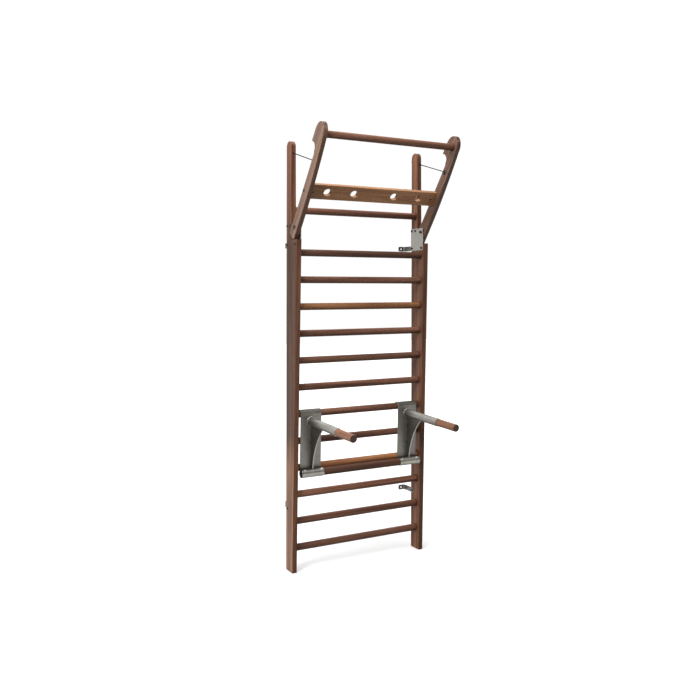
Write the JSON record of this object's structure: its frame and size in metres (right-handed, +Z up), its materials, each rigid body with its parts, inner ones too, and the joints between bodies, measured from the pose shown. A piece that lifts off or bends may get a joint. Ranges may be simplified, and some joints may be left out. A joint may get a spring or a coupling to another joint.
{
  "type": "wall bars with chin-up unit and dip station",
  "caption": "Wooden wall bars on wall brackets, with a fold-out chin-up unit held by stay wires and a hook-on steel and wood dip station.",
  "frame": {"origin": "in the wall plane, at the middle of the four wall holes", "axes": "+X along the rungs, +Y towards the wall, +Z up; the user stands on the -Y side"},
  "size_m": [0.7586, 0.5727, 2.1165],
  "materials": {
    "plank_timber": "dark stained planks, oiled, long grain",
    "rung_timber": "dark stained turned bars, oiled, grain along the bar",
    "board_timber": "dark stained board, lighter cut edges",
    "grip_timber": "warm brown turned bar, dark end grain",
    "plate_steel": "zinc plated flat steel",
    "bracket_zinc": "dull zinc plated strip",
    "hook_steel": "dark grey folded plate, satin",
    "dip_steel": "satin steel tube",
    "black_screws": "blackened",
    "zinc_screws": "zinc plated",
    "bright_screws": "bright",
    "stay_wire": "stranded wire rope",
    "wire_fittings": "blackened barrels and bushes",
    "pivot_bush": "plain black bush"
  },
  "bodies": {
    "ladder": {"frame_bolts": "black_screws", "frame_nuts": "black_screws", "left_hinge_plate": "plate_steel", "left_lower_wall_bracket": "bracket_zinc", "left_stay_wire": "stay_wire", "left_upper_wall_bracket": "bracket_zinc", "left_upright": "plank_timber", "pivot_bolts": "black_screws", "pivot_nuts": "black_screws", "pivot_washers": "zinc_screws", "right_hinge_plate": "plate_steel", "right_lower_wall_bracket": "bracket_zinc", "right_stay_wire": "stay_wire", "right_upper_wall_bracket": "bracket_zinc", "right_upright": "plank_timber", "rung_01": "rung_timber", "rung_02": "rung_timber", "rung_03": "rung_timber", "rung_04": "rung_timber", "rung_05": "rung_timber", "rung_06": "rung_timber", "rung_07": "rung_timber", "rung_08": "rung_timber", "rung_09": "rung_timber", "rung_10": "rung_timber", "rung_11": "rung_timber", "rung_12": "rung_timber", "rung_13": "rung_timber", "wire_ferrules": "wire_fittings", "wire_guide_bushes": "wire_fittings"},
    "chinup_unit": {"board_barrel_nuts": "black_screws", "board_bolts": "black_screws", "bush_keeper_screws": "black_screws", "chinup_bar": "rung_timber", "drilled_board": "board_timber", "left_chinup_arm": "plank_timber", "left_wire_anchor": "wire_fittings", "pivot_bushes": "pivot_bush", "right_chinup_arm": "plank_timber", "right_wire_anchor": "wire_fittings"},
    "dip_station": {"dip_crossbar": "grip_timber", "grip_screws": "bright_screws", "left_crossbar_sleeve": "dip_steel", "left_grip": "grip_timber", "left_gusset": "dip_steel", "left_handle_tube": "dip_steel", "left_hook_plate": "hook_steel", "right_crossbar_sleeve": "dip_steel", "right_grip": "grip_timber", "right_gusset": "dip_steel", "right_handle_tube": "dip_steel", "right_hook_plate": "hook_steel", "sleeve_screws": "bright_screws"}
  },
  "joints": [
    {"name": "chinup_fold", "type": "hinge", "parent": "ladder", "child": "chinup_unit", "pos_m": [0, -0.1668, 0.72225], "axis": [1, 0, 0], "range_deg": [-37.5, 0], "deforming": ["left_stay_wire", "right_stay_wire"]},
    {"name": "dip_lift_off", "type": "slide", "parent": "ladder", "child": "dip_station", "axis": [0, -0.0337, 0.9994], "range_m": [0, 0.06]}
  ]
}
